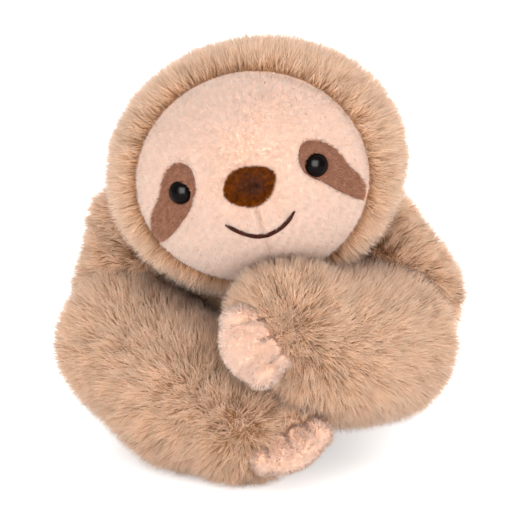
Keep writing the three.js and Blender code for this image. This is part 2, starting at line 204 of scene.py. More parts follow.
def catmull(points, share):
    points = np.asarray(points, float)
    count = len(points) - 1
    place = np.clip(share, 0, 1) * count
    first = np.minimum(place.astype(int), count - 1)
    grown = np.vstack([2 * points[0] - points[1], points, 2 * points[-1] - points[-2]])
    return between(*(grown[first + i] for i in range(4)), (place - first)[:, None])


def closedCurve(points, count):
    points = np.asarray(points, float)
    place = np.linspace(0, len(points), count, endpoint=False)
    first = place.astype(int)
    return between(*(points[(first + i) % len(points)] for i in (-1, 0, 1, 2)), (place - first)[:, None])


def ballGrid(place, sizes, rows=30, sides=48):
    polar = np.linspace(0, math.pi, rows)[1:-1, None]
    turn = circle(sides)[None]
    ball = np.stack([np.sin(polar) * np.cos(turn), np.sin(polar) * np.sin(turn),
                     np.cos(polar) + 0 * turn], -1)
    return ball * sizes + place


def ringsOn(line, side, rise, radius, sides):
    turn = circle(sides)[None, :, None]
    ring = side[:, None] * np.cos(turn) + rise[:, None] * np.sin(turn)
    return line[:, None] + ring * radius[:, None, None]


def limbGrid(centres, radii, sides=56, span=30, cap=12):
    # the rings of a stuffed limb along its middle line, rounded at both ends, under its pile
    share = np.linspace(0, 1, span)
    line = catmull(centres, share)
    tangent = unit(np.gradient(line, axis=0))
    place = share * (len(radii) - 1)
    first = np.minimum(place.astype(int), len(radii) - 2)
    radii = np.asarray(radii, float)
    radius = radii[first] + (radii[first + 1] - radii[first]) * step(0, 1, place - first) - fur["sink"]
    angle = np.linspace(0, math.pi / 2, cap + 1)[1:-1]
    startLine = [line[0] - tangent[0] * radius[0] * math.cos(a) for a in angle]
    endLine = [line[-1] + tangent[-1] * radius[-1] * math.cos(a) for a in angle[::-1]]
    line = np.vstack([startLine, line, endLine])
    tangent = np.vstack([[tangent[0]] * len(angle), tangent, [tangent[-1]] * len(angle)])
    radius = np.concatenate([radius[0] * np.sin(angle), radius, radius[-1] * np.sin(angle[::-1])])
    side = unit(np.cross(tangent, [0, 0, 1]))
    return ringsOn(line, side, np.cross(side, tangent), radius, sides)


def gridFaces(rows, sides):
    pairs = [(s, (s + 1) % sides) for s in range(sides)]
    return [(r + s, r + n, r + sides + n, r + sides + s)
            for r in range(0, (rows - 1) * sides, sides) for s, n in pairs]


def closedGrid(name, rings, material):
    # a skin of rings, closed at both ends by a fan of triangles
    rows, sides = rings.shape[:2]
    points = list(rings.reshape(-1, 3))
    faces = gridFaces(rows, sides)
    first, last = len(points), len(points) + 1
    points += [rings[0].mean(axis=0), rings[-1].mean(axis=0)]
    for s in range(sides):
        n = (s + 1) % sides
        faces.append((first, n, s))
        faces.append((last, (rows - 1) * sides + s, (rows - 1) * sides + n))
    return outward(addMesh(name, points, faces, material))


def outward(made):
    # turns the faces out if the enclosed volume comes out negative
    mesh = made.data
    mesh.calc_loop_triangles()
    points, tris = numbers(mesh.vertices, "co"), numbers(mesh.loop_triangles, "vertices", int)
    a, b, c = (points[tris[:, i]] for i in range(3))
    if np.einsum("ij,ij->i", a, np.cross(b, c)).sum() < 0:
        mesh.flip_normals()
    return made


def flatten(made, floor):
    # the stuffing spreads where it rests
    for v in made.data.vertices:
        if v.co.z < floor:
            v.co.z = floor + (v.co.z - floor) * stuffing["spread"]


def applied(made):
    depsgraph = bpy.context.evaluated_depsgraph_get()
    mesh = bpy.data.meshes.new_from_object(made.evaluated_get(depsgraph))
    made.modifiers.clear()
    made.data = mesh
    mesh.polygons.foreach_set("use_smooth", [True] * len(mesh.polygons))


def remeshed(made, voxel, smooth=0):
    remesh = made.modifiers.new("remesh", "REMESH")
    remesh.mode = "VOXEL"
    remesh.voxel_size = voxel
    if smooth:
        relax = made.modifiers.new("relax", "SMOOTH")
        relax.iterations = smooth
        relax.factor = 0.5
    applied(made)


stuffing = {  # the fibre that fills every cover
    "voxel": 5 * mm, "pressure": 60.0, "frames": 20,
    "most": 1.5 * mm,  # how far the cloth run may move a cover
    "restFloor": 2.5 * mm, "spread": 0.08,  # where a cover rests it flattens to this share
}


def stuffed(skin):
    # the filling swells a sewn cover: a short cloth run under pressure, with its movement capped
    remeshed(skin, stuffing["voxel"])
    before = numbers(skin.data.vertices, "co")
    cloth = skin.modifiers.new("cloth", "CLOTH")
    cloth.settings.use_pressure = True
    cloth.settings.uniform_pressure_force = stuffing["pressure"]
    cloth.settings.effector_weights.gravity = 0
    cloth.point_cache.frame_end = stuffing["frames"]
    for shot in range(1, stuffing["frames"] + 1):
        bpy.context.scene.frame_set(shot)
    applied(skin)
    bpy.context.scene.frame_set(1)
    move = numbers(skin.data.vertices, "co") - before
    far = norm(move, axis=1)[:, None]
    points = before + move * np.minimum(1, stuffing["most"] / np.maximum(far, 1e-9))
    print("stuffed", skin.name, len(points), "points, moved", round(float(far.mean() / mm), 2), "mm")
    skin.data.vertices.foreach_set("co", np.round(points, 5).ravel())
    finer = skin.modifiers.new("finer", "SUBSURF")
    finer.levels = 1
    finer.render_levels = 1
    applied(skin)


def fitted(made, body, slot, *covers):
    # it rides on its body and stands for the plain solids it replaces
    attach(made, body)
    if covers:
        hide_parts(*covers)


def soften(skin, body, slot, fill, *covers):
    fitted(skin, body, slot, *covers)


def waves(points, length, seed, count=14):
    # lean neighbouring strands alike, so that the pile gathers into tufts
    pick = np.random.default_rng(seed)
    direction = unit(pick.normal(size=(count, 3)))
    pitch = length * pick.uniform(0.7, 1.4, count)
    phase = pick.uniform(0, 2 * math.pi, (3, count))
    angle = points @ (direction * (2 * math.pi / pitch)[:, None]).T
    return np.stack([np.sin(angle + phase[i]).sum(axis=1) for i in range(3)], axis=1) / math.sqrt(count)


def scatter(made, count, seed):
    # roots spread evenly over a surface, with the smooth normal at each
    mesh = made.data
    mesh.calc_loop_triangles()
    points, normals = numbers(mesh.vertices, "co"), numbers(mesh.vertices, "normal")
    tris = numbers(mesh.loop_triangles, "vertices", int)
    a, b, c = (points[tris[:, i]] for i in range(3))
    area = norm(np.cross(b - a, c - a), axis=1)
    pick = np.random.default_rng(seed)
    chosen = pick.choice(len(tris), count, p=area / area.sum())
    u, v = pick.random(count), pick.random(count)
    over = u + v > 1
    u[over], v[over] = 1 - u[over], 1 - v[over]
    w = 1 - u - v
    corners = tris[chosen]
    place, normal = (sum(rows[corners[:, i]] * k[:, None] for i, k in enumerate((w, u, v)))
                     for rows in (points, normals))
    return place, unit(normal)


strand = {  # what every strand has in common, as shares
    "rootLean": 0.55, "rootStir": 0.45, "rootLoose": 0.5,  # of the tip's lean, tuft and looseness
    "broad": 3.2,  # the width of a swirl, in tufts
    "thinning": 0.55, "thinningPower": 1.6,  # from root to tip
    "patchShade": 0.24, "ownShade": 0.16,  # how shade changes over the pile and from strand to strand
    "tipShading": 0.35,  # how far the tip's own direction shows in its shading
}


def pile(name, roots, normals, comb, values, material, seed):
    # one mesh of tapered strands; comb is the way each strand leans
    pick = np.random.default_rng(seed)
    count = len(roots)
    strength = np.minimum(norm(comb, axis=1), 1)[:, None]
    tangent = unit(comb - normals * np.einsum("ij,ij->i", comb, normals)[:, None]) * strength
    tuft = waves(roots, values["tuft"], seed + 1) * values["gather"]
    broad = waves(roots, values["tuft"] * strand["broad"], seed + 2) * values["swirl"]
    loose = pick.normal(size=(count, 3)) * values["loose"]
    length = values["length"] * pick.uniform(1 - values["uneven"], 1, count)
    if "shorter" in values:
        length *= values["shorter"](roots)
    lean = values["lean"] * pick.uniform(0.75, 1.15, count)
    first = unit(normals + tangent * (lean * strand["rootLean"])[:, None]
                 + (tuft + broad) * strand["rootStir"] + loose * strand["rootLoose"])
    last = unit(normals * values["stand"] + tangent * lean[:, None] + tuft + broad + loose)
    steps = values["steps"]
    share = np.linspace(0, 1, steps + 1)
    line = [roots]
    for i in range(steps):
        way = unit(first * (1 - share[i]) + last * share[i])
        line.append(line[-1] + way * (length / steps)[:, None])
    line = np.stack(line, axis=1)
    middle = unit(line[:, -1] - line[:, 0])
    flat = unit(np.cross(normals, middle) + pick.normal(size=(count, 3)) * 0.05)
    roll = pick.uniform(-1.0, 1.0, count)
    across = flat * np.cos(roll)[:, None] + np.cross(middle, flat) * np.sin(roll)[:, None]
    inward = np.einsum("ij,ij->i", np.cross(across, middle), normals) < 0
    across[inward] *= -1  # every ribbon shows its front side outwards
    taper = (1 - share ** strand["thinningPower"] * strand["thinning"])[:-1]
    half = values["width"] / 2 * pick.uniform(0.6, 1.2, count)
    rows = steps * 2 + 1
    points = np.empty((count, rows, 3))
    for i in range(steps):
        offset = across * (half * taper[i])[:, None]
        points[:, 2 * i] = line[:, i] - offset
        points[:, 2 * i + 1] = line[:, i] + offset
    points[:, -1] = line[:, -1]
    points[:, :, 2] = np.maximum(points[:, :, 2], floorGap)
    loops = [2 * i + corner for i in range(steps - 1) for corner in (0, 1, 3, 2)]
    loops = np.asarray(loops + [rows - 3, rows - 2, rows - 1])  # quads, then a triangle at the tip
    allLoops = (np.arange(count)[:, None] * rows + loops[None]).ravel()
    allStarts = (np.arange(count)[:, None] * len(loops) + 4 * np.arange(steps)[None]).ravel()
    mesh = bpy.data.meshes.new(name)
    mesh.vertices.add(count * rows)
    mesh.vertices.foreach_set("co", points.ravel())
    mesh.loops.add(len(allLoops))
    mesh.loops.foreach_set("vertex_index", allLoops.astype(np.int32))
    mesh.polygons.add(len(allStarts))
    mesh.polygons.foreach_set("loop_start", allStarts.astype(np.int32))
    mesh.update(calc_edges=True)
    mesh.polygons.foreach_set("use_smooth", [True] * len(mesh.polygons))
    height = np.concatenate([np.repeat(share[:-1], 2), [1.0]])
    level = 0.5 + strand["patchShade"] * waves(roots, values["shadePatch"], seed + 3)[:, 0]
    level = np.clip(level + pick.normal(size=count) * strand["ownShade"], 0.02, 0.98)
    uv = np.empty((count, len(loops), 2))
    uv[:, :, 0] = level[:, None] + np.where(loops % 2 == 1, 0.012, -0.012)[None]
    uv[:, :, 1] = np.clip(height[loops], 0.01, 0.99)[None]
    mesh.uv_layers.new(name="OFBake").data.foreach_set("uv", uv.ravel())
    soft = unit(normals)[:, None] + (last * strand["tipShading"])[:, None] * height[None, :, None]
    soft = unit(soft.reshape(-1, 3))  # shaded as the skin below, so the pile reads as one soft body
    mesh.normals_split_custom_set_from_vertices(soft.astype(np.float32))
    mesh.materials.append(material)
    return placed(name, mesh)


trianglesPerPiece = 190000  # the most triangles of pile in one piece; keeps each piece light enough to pass on as it is


def furOver(name, skin, body, values, material, comb, keep=None, slot="fur"):
    area = sum(p.area for p in skin.data.polygons)
    count = int(round(area / (mm * mm) * values["density"], -2))
    roots, normals = scatter(skin, count, values["seed"])
    if keep is not None:
        chosen = keep(roots, normals)
        roots, normals = roots[chosen], normals[chosen]
    parts = max(1, math.ceil(len(roots) * (2 * values["steps"] - 1) / trianglesPerPiece))
    for i in range(parts):
        mine = slice(i, None, parts)
        label = name if parts == 1 else f"{name}_{i + 1}"
        part = pile(label, roots[mine], normals[mine], comb(roots[mine], normals[mine]), values,
                    material, values["seed"] + 10 * i)
        fitted(part, body, slot)
    print("pile", name, len(roots), "strands in", parts)


def awayFrom(point, calm=1 * mm):
    # strands lean away from a point, and stand up more and more as they come near it
    def comb(roots, normals):
        way = roots - point
        far = norm(way, axis=1)[:, None]
        return way / np.maximum(far, 1e-6) * step(0, calm, far)
    return comb


def along(way):
    way = np.asarray(way, float)
    return lambda roots, normals: np.broadcast_to(way / norm(way), roots.shape)


# Stage

def makeStage():
    camera = placed("camera", bpy.data.cameras.new("camera"))
    tilt = math.radians(view["elevation"])
    back = Vector((0, -math.cos(tilt), math.sin(tilt)))
    camera.location = Vector(view["target"]) + back * view["distance"]
    camera.rotation_euler = back.to_track_quat("Z", "Y").to_euler()
    camera.data.sensor_width = view["sensor"]
    camera.data.lens = view["sensor"] * view["distance"] / view["frameWidth"]
    camera.data.clip_start = 0.05
    bpy.context.scene.camera = camera
    half = view["floorSize"] / 2
    material, tree = newMaterial("studioPaperSweep")  # matte paper, even white under a soft shadow
    surface = node(tree, "BsdfDiffuse", inputs={"Color": toLinear(view["floorColour"])})
    rays = node(tree, "LightPath")
    shown = rays.outputs["Is Camera Ray"]
    for kind in ("Is Glossy Ray", "Is Transmission Ray"):
        shown = node(tree, "Math", {"operation": "MAXIMUM"}, links={0: shown, 1: rays.outputs[kind]})
        shown = shown.outputs[0]
    level = node(tree, "Math", {"operation": "MULTIPLY"}, inputs={1: view["floorGlow"]},
                 links={0: shown})
    glow = node(tree, "Emission", links={"Strength": level.outputs[0]})
    both = node(tree, "AddShader", links={0: surface.outputs[0], 1: glow.outputs[0]})
    node(tree, "OutputMaterial", links={"Surface": both.outputs[0]})
    floor = addMesh("floor", [(-half, -half, 0), (half, -half, 0), (half, half, 0), (-half, half, 0)],
                    [(0, 1, 2, 3)], material, False)
    for name, (place, width, watts) in lamps.items():
        lamp = bpy.data.lights.new(name, "AREA")
        lamp.size = width
        lamp.energy = watts
        made = placed(name, lamp)
        made.location = place
        made.rotation_euler = (Vector(place) - Vector(view["lampAim"])).to_track_quat("Z", "Y").to_euler()
        made.visible_diffuse = name != "glint"
        made.visible_glossy = name == "glint"
    world = bpy.data.worlds.new("studio")
    bpy.context.scene.world = world
    world.use_nodes = True
    tree = world.node_tree
    tree.nodes.clear()
    rays = node(tree, "LightPath")
    shown = node(tree, "Math", {"operation": "MAXIMUM"},
                 links={0: rays.outputs["Is Camera Ray"], 1: rays.outputs["Is Transmission Ray"]})
    place = node(tree, "TexCoord")
    parts = node(tree, "SeparateXYZ", links={"Vector": place.outputs["Generated"]})
    room = node(tree, "MapRange",  # reflections: white sweep behind, a dim room in front
                inputs={"From Min": -0.3, "From Max": 0.3, "To Min": view["roomStrength"], "To Max": 1.0},
                links={"Value": parts.outputs["Y"]})
    level = node(tree, "MapRange", inputs={"To Min": view["skyStrength"], "To Max": 1.0},
                 links={"Value": shown.outputs[0]})
    level = node(tree, "MapRange",
                 links={"Value": rays.outputs["Is Glossy Ray"], "To Min": level.outputs["Result"],
                        "To Max": room.outputs["Result"]})
    sky = node(tree, "Background", inputs={"Color": (1, 1, 1, 1)},
               links={"Strength": level.outputs["Result"]})
    node(tree, "OutputWorld", links={"Surface": sky.outputs[0]})
    bpy.context.scene.view_settings.view_transform = "Standard"
    print("stage ready")


makeStage()

# Fur

# Long acrylic pile, cream at the tips and brown at the roots: the dark roots are painted shade deep in the
# pile, so the locks read against each other
furStops = [(0.0, "#A06E48"), (0.35, "#D9A67E"), (0.7, "#F2CCAA"), (1.0, "#FFE9D8")]
furPile = pileMaterial("acrylicLongPileBeige", furStops, (0.82, 1.25), 0.38)
# the backing's darker colours are painted shade of the depth between the strands
furBackingPaintedShade = backingMaterial("knitBackingTanPaintedDepthShade", "#A67850", "#C2946A")
fur = {
    "length": 12.5 * mm, "uneven": 0.55, "lean": 0.58, "stand": 0.84, "steps": 2, "width": 0.36 * mm,
    "tuft": 6.5 * mm, "gather": 0.34, "swirl": 0.18, "loose": 0.24, "density": 3.7, "shadePatch": 11 * mm,
    "sink": 3.0 * mm,  # how far each skin lies inside its CAD cover, which the pile fills up again
}


def furSkin(body, rings, rests=True):
    # the stuffed knit cover of one body, which the long pile then grows on
    skin = closedGrid(f"{body}_skin", rings, furBackingPaintedShade)
    stuffed(skin)
    if rests:
        flatten(skin, stuffing["restFloor"])
    soften(skin, body, "fur", 0.8, f"{body}_cover", f"{body}_filling")
    return skin


# Head, in its own tilted frame

eye = {
    "side": 34.4 * mm, "drop": -0.8 * mm, "radius": 6.15 * mm, "proud": 5.5 * mm, "sunk": 2.0 * mm,
    "dip": 1.5 * mm, "dipWidth": 8 * mm,  # the shank draws the face in round each bead
    "clear": 5.9 * mm,  # no nap grows nearer to the bead's middle than this
}
head = {
    "place": (1 * mm, -47 * mm, 148 * mm), "turn": (-8, -13, -3.3),
    "halfWidth": 71 * mm, "halfDepth": 54 * mm, "halfHeight": 59 * mm,
    "faceHalfWidth": 58.5 * mm, "faceHalfHeight": 53 * mm, "faceDrop": 2 * mm,
    "faceDome": 1.2 * mm,  # how far the middle of the face stands out
    "tuckFrom": 0.93, "tuckWidth": 0.09, "tuck": 7 * mm,  # the face's edge turns in under the hood
    "rim": 1.5 * mm, "rimShare": 1.08, "rimWidth": 0.07,  # the hood's edge swells round the face
    "hoodSink": 9 * mm, "hoodFur": 0.985,  # the hood runs on under the face, its fur stops there
    "muzzle": 3.0 * mm, "muzzleWidth": 21 * mm, "muzzleDrop": 17 * mm,
    "seamDepth": 1.5 * mm, "seamWidth": 1.6 * mm, "seamTop": -10 * mm, "seamSide": 1.9 * mm,
    "seamFade": 4 * mm,
}
headRows = turnRows(head["turn"])
headSizes = np.array([head["halfWidth"], head["halfDepth"], head["halfHeight"]])


def headToWorld(points):
    return points @ headRows.T + head["place"]


def worldToHead(points):
    return (points - head["place"]) @ headRows


def headFront(x, z):
    a, b = x / head["halfWidth"], z / head["halfHeight"]
    return -head["halfDepth"] * np.sqrt(np.clip(1 - a * a - b * b, 0.0001, 1))


def faceShare(x, z):
    # 1 on the seam between the face and the hood, less inside it
    return np.hypot(x / head["faceHalfWidth"], (z + head["faceDrop"]) / head["faceHalfHeight"])


def faceRise(x, z):
    # the stuffed face over its plain ellipsoid: a dome with a muzzle, a centre seam and two dips
    share = faceShare(x, z)
    rise = head["faceDome"] * (1 - share ** 2)
    far = x ** 2 + (z + head["muzzleDrop"]) ** 2
    rise = rise + head["muzzle"] * np.exp(-(far / head["muzzleWidth"] ** 2))
    seam = np.exp(-((x - head["seamSide"]) / head["seamWidth"]) ** 2)
    seam = seam * step(head["seamTop"], head["seamTop"] - head["seamFade"], z)
    rise = rise - head["seamDepth"] * seam
    for side in (-1, 1):
        far = (x - side * eye["side"]) ** 2 + (z + eye["drop"]) ** 2
        rise = rise - eye["dip"] * np.exp(-far / eye["dipWidth"] ** 2)
    return rise - head["tuck"] * np.clip((share - head["tuckFrom"]) / head["tuckWidth"], 0, 2) ** 2


def faceSurface(x, z, lift=0.0):
    return headToWorld(np.stack([x, headFront(x, z) - faceRise(x, z) - lift, z], axis=-1))


def makeHood():
    way = ballGrid((0, 0, 0), (1, 1, 1), 92, 160)[..., [0, 2, 1]] * (1, -1, 1)  # first ring in front
    base = way * headSizes
    share = faceShare(base[..., 0], base[..., 2])
    front = base[..., 1] < 0
    inside = np.where(front, 1 - step(0.94, 1.03, share), 0)
    rim = np.where(front, np.exp(-((share - head["rimShare"]) / head["rimWidth"]) ** 2), 0)
    sink = -fur["sink"] + head["rim"] * rim - head["hoodSink"] * inside
    rings = headToWorld(base + way * sink[..., None])
    skin = closedGrid("hood_skin", rings, furBackingPaintedShade)
    soften(skin, "head", "fur", 0.85, "head_hood", "head_filling")

    def keep(roots, normals):
        x, y, z = worldToHead(roots).T
        return ~((y < 0) & (faceShare(x, z) < head["hoodFur"]))

    def comb(roots, normals):
        local = worldToHead(roots)
        away = local + (0, head["halfDepth"], head["faceDrop"])
        away[:, 2] -= 0.25 * np.clip(local[:, 1] + 10 * mm, 0, None)  # brushed down at the back
        return unit(away @ headRows.T)

    furOver("hood_fur", skin, "head", dict(fur, seed=500, lean=0.62, stand=0.85), furPile, comb, keep)
    print("hood ready")


makeHood()

# Face: short plush nap with a centre seam, darker inset patches round the eyes

face = {
    "length": 2.3 * mm, "uneven": 0.5, "lean": 0.8, "stand": 0.75, "steps": 1, "width": 0.34 * mm,
    "tuft": 3.4 * mm, "gather": 0.2, "swirl": 0.12, "loose": 0.3, "density": 10.5, "shadePatch": 3.4 * mm,
    "seed": 600, "bridge": 24 * mm, "edge": 0.3 * mm, "seamGap": 0.35 * mm,
    "from": 8 * mm,  # nap grows only this far in front of the head's middle and further
    "rimFrom": 0.975, "rimTo": 1.01, "depth": 9 * mm, "backShare": 0.97,
}
patch = {"lift": 0.6 * mm, "edgeDrop": 1.4 * mm, "edgeFrom": 0.9, "depth": 3 * mm, "backShare": 0.99}
patchOutlines = {  # x and z in mm in the head's frame, each patch is cut one by one
    "left": [(26.6, 8.5), (28.8, 13), (33.3, 14.2), (39.8, 11.6), (45.6, 5.4), (49.6, -4), (53.4, -11),
             (54, -19), (52, -23.4), (47.6, -20.6), (41, -14.2), (35.6, -8.4), (29.4, -3.6), (26.4, 2.6)],
    "right": [(-30.2, 16), (-25.6, 12), (-25, 4.1), (-27, -2), (-31.4, -9), (-40, -17), (-47, -22.4),
              (-53, -24), (-55, -19), (-52.4, -9), (-46.4, -0.4), (-43, 7), (-39.6, 12.6), (-35, 15.6)],
}
# Short polyester nap: nearly even in shade, so the face looks smooth and the fur rough
# its roots only a little darker, painted shade deep in the nap
plushStops = [(0.0, "#F2CFB9"), (0.5, "#FBE2D2"), (1.0, "#FFF0E6")]
facePile = pileMaterial("minkyPlushPeach", plushStops, (0.88, 1.06), 0.36, sheen=0.05)
# the backing's darker colours are painted shade of the depth between the strands
faceBackingPaintedShade = backingMaterial("minkyBackingPeachPaintedDepthShade", "#F0C6AA", "#F7D2B8")
# The same nap in brown, its roots darker as painted shade that shows where it parts
patchStops = [(0.0, "#7E4A34"), (0.5, "#A87256"), (1.0, "#CF9B80")]
patchPile = pileMaterial("minkyPlushBrown", patchStops, (0.76, 1.16), 0.25, sheen=0.1)
# the backing's darker colours are painted shade of the depth between the strands
patchBackingPaintedShade = backingMaterial("minkyBackingBrownPaintedDepthShade", "#74483A", "#8C5E48")


def insideOutline(x, z, outline):
    # the outline is taken in a little, so that the two naps meet over its edge
    middle = outline.mean(axis=0)
    span = norm(outline - middle, axis=1)
    edge = middle + (outline - middle) * (1 - face["edge"] / span)[:, None]
    hit = np.zeros(len(x), bool)
    for (x1, z1), (x2, z2) in zip(edge, np.roll(edge, -1, axis=0)):
        crosses = (z1 > z) != (z2 > z)
        at = x1 + (z - z1) / (z2 - z1 + 1e-12) * (x2 - x1)
        hit ^= crosses & (x < at)
    return hit


patchEdges = {side: closedCurve(np.array(outline) * mm, 112) for side, outline in patchOutlines.items()}


def faceComb(roots, normals):
    # the nap is stroked outwards and down from the bridge of the nose
    way = worldToHead(roots) * (1, 0, 1) - (0, 0, face["bridge"])
    return unit(way @ headRows.T)


def makeFace():
    share = np.linspace(0, 1.02, 64)[1:, None]
    turn = circle(360)[None]
    x = share * head["faceHalfWidth"] * np.cos(turn)
    z = share * head["faceHalfHeight"] * np.sin(turn) - head["faceDrop"]
    back = faceSurface(x * face["backShare"], z * face["backShare"], -face["depth"])[::-1][::6]
    panel = closedGrid("face_panel_plush", np.concatenate([faceSurface(x, z), back]), faceBackingPaintedShade)
    soften(panel, "head", "face_plush", 0.9, "face_panel")

    def keep(roots, normals):
        x, y, z = worldToHead(roots).T
        on = (y < -face["from"]) & (faceShare(x, z) < 1.0)
        on &= y < headFront(x, z) + 2 * mm
        for edge in patchEdges.values():
            on &= ~insideOutline(x, z, edge)
        on &= ~((np.abs(x - head["seamSide"]) < face["seamGap"]) & (z < head["seamTop"]))
        return on

    furOver("face_nap", panel, "head", face, facePile, faceComb, keep, "face_plush")

    def keepRim(roots, normals):
        x, y, z = worldToHead(roots).T
        share = faceShare(x, z)
        on = keep(roots, normals) | (share >= 1.0)
        return on & (y < -face["from"]) & (share > face["rimFrom"]) & (share < face["rimTo"])

    rim = dict(face, seed=620, length=3.2 * mm, density=5.0, lean=0.5)  # frays over the hood seam
    furOver("face_rim_nap", panel, "head", rim, facePile, faceComb, keepRim, "face_plush")
    for number, (side, edge) in enumerate(patchEdges.items()):
        middle = edge.mean(axis=0)
        share = np.linspace(0, 1, 16)[1:, None, None]
        flat = middle + (edge - middle)[None] * share
        patchX, patchZ = flat[..., 0], flat[..., 1]
        eyeX = (1 if side == "left" else -1) * eye["side"]
        lift = patch["lift"] - patch["edgeDrop"] * step(patch["edgeFrom"], 1.0, share[..., 0])
        front = faceSurface(patchX, patchZ, lift + 0 * patchX)
        back = faceSurface(patchX * patch["backShare"], patchZ, -patch["depth"])[::-1][::5]
        skin = closedGrid(f"eye_patch_{side}_plush", np.concatenate([front, back]), patchBackingPaintedShade)
        soften(skin, "head", "patch_plush", 0.9, f"eye_patch_{side}")

        def keepPatch(roots, normals):
            x, y, z = worldToHead(roots).T
            clear = np.hypot(x - eyeX, z + eye["drop"]) > eye["clear"]
            return clear & (y < headFront(x, z) + 1.5 * mm)

        nap = dict(face, seed=640 + 10 * number, density=9.0, length=2.2 * mm)
        furOver(f"eye_patch_{side}_nap", skin, "head", nap, patchPile, faceComb, keepPatch, "patch_plush")
    print("face ready")


makeFace()

# Eyes: polished beads set into the pile


def makeEyes():
    # black with a hard polish, so that each bead shows the lamp as one small soft spot
    bead = grainMaterial("mouldedAcrylicBlack", "TexNoise", {"Scale": 60.0, "Detail": 2.0},
                         [(0.3, "#050303"), (0.7, "#0D0807")],
                         {"Roughness": 0.24, "IOR": 1.49, "Specular IOR Level": 0.04})
    for side, sign in (("left", 1), ("right", -1)):
        x, z = sign * eye["side"], -eye["drop"]
        seat = faceSurface(np.array(x), np.array(z))
        normal = np.array([x, headFront(x, z), z]) / headSizes ** 2
        out = Vector(normal / norm(normal) @ headRows.T)
        turn = np.array(out.to_track_quat("Z", "Y").to_matrix())
        ball = ballGrid((0, 0, 0), (eye["radius"], eye["radius"], 1), 34, 48)
        ball[..., 2] *= np.where(ball[..., 2] > 0, eye["proud"], eye["sunk"])
        made = closedGrid(f"eye_{side}_bead", ball @ turn.T + seat, bead)
        fitted(made, "head", "eye_bead", f"eye_{side}")
    print("eyes ready")


makeEyes()

# Nose: a stuffed button of dense short pile, flat on top and rounded below

nose = {
    "length": 2.4 * mm, "uneven": 0.45, "lean": 0.6, "stand": 0.8, "steps": 1, "width": 0.36 * mm,
    "tuft": 2.6 * mm, "gather": 0.36, "swirl": 0.2, "loose": 0.3, "density": 12.0, "shadePatch": 3.5 * mm,
    "seed": 700, "halfDepth": 5.6 * mm, "side": 1.2 * mm, "drop": 2 * mm,
    "dent": 0.25, "dentSide": 2.5 * mm, "dentWidth": 2.6 * mm,
    "combFrom": (3 * mm, -60 * mm, -4 * mm),  # the nap lies away from this point behind it
}
noseOutline = [  # x and z in mm from the nose's middle: a blunt heart with its corner up on one side
    (-12.2, -0.4), (-10.4, 4.6), (-6.4, 8), (-0.6, 9), (5.4, 8.2), (10, 6.4), (12.4, 3.4), (10.8, -1.4),
    (7.4, -5.8), (2.6, -8.6), (-3, -8.4), (-8.4, -6), (-11.4, -3.4),
]
# Dense chestnut nap with almost no shine, so the nose stays dark under the lamps
# the near-black roots are painted shade deep in the nap
noseStops = [(0.0, "#2E1000"), (0.5, "#6E3000"), (1.0, "#9A540E")]
nosePile = pileMaterial("minkyPlushChestnut", noseStops, (0.6, 1.3), 0.15, sheen=0.0, shine=0.02)
# the backing's darker colours are painted shade of the depth between the strands
noseBackingPaintedShade = backingMaterial("minkyBackingChestnutPaintedDepthShade", "#2A0C03", "#451A08")


def makeNose():
    polar = np.linspace(0, math.pi, 30)[1:-1, None]
    edge = closedCurve(np.array(noseOutline) * mm, 72)
    x = np.sin(polar) * edge[None, :, 0]
    z = np.sin(polar) * edge[None, :, 1]
    y = -np.cos(polar) + 0 * x
    dent = np.exp(-((x - nose["dentSide"]) ** 2 + z ** 2) / nose["dentWidth"] ** 2)
    dent = nose["dent"] * dent * (y < 0)
    local = np.stack([x + nose["side"], y * nose["halfDepth"] * (1 - dent), z - nose["drop"]], -1)
    local[..., 1] += headFront(nose["side"], -nose["drop"]) - faceRise(nose["side"], -nose["drop"])
    skin = closedGrid("nose_plush", headToWorld(local), noseBackingPaintedShade)
    soften(skin, "head", "nose_pile", 0.9, "nose")

    def comb(roots, normals):
        return unit((worldToHead(roots) - nose["combFrom"]) @ headRows.T)

    furOver("nose_nap", skin, "head", nose, nosePile, comb, None, "nose_pile")
    print("nose ready")


makeNose()

# Mouth: one satin stitched line, laid in short slanting stitches

mouth = {
    "points": [(-15.4, -18.6), (-11.8, -21.6), (-7.6, -24.7), (-3.3, -27), (1, -28.1), (5.5, -27.8),
               (10.9, -26), (15.6, -23), (19.8, -18.9)],
    "radius": 1.08 * mm, "steps": 150,
    "ridge": 0.26, "ridgeTurn": 1.9,  # how deep each stitch shows, and radians from step to step
    "endSteps": 14, "endShare": 0.45,  # the line thins to this share at its ends
    "lift": 1.3 * mm, "seamRadius": 0.26 * mm, "seamFrom": -12 * mm, "seamTo": -54 * mm,
}


def tube(name, line, radius, material, sides=10):
    # a thread along a line of world points, its thickness may change along it
    tangent = unit(np.gradient(line, axis=0))
    side = unit(np.cross(tangent, [0.05, 0.1, 1.0]))
    radius = np.broadcast_to(radius, len(line))
    return closedGrid(name, ringsOn(line, side, np.cross(side, tangent), radius, sides), material)


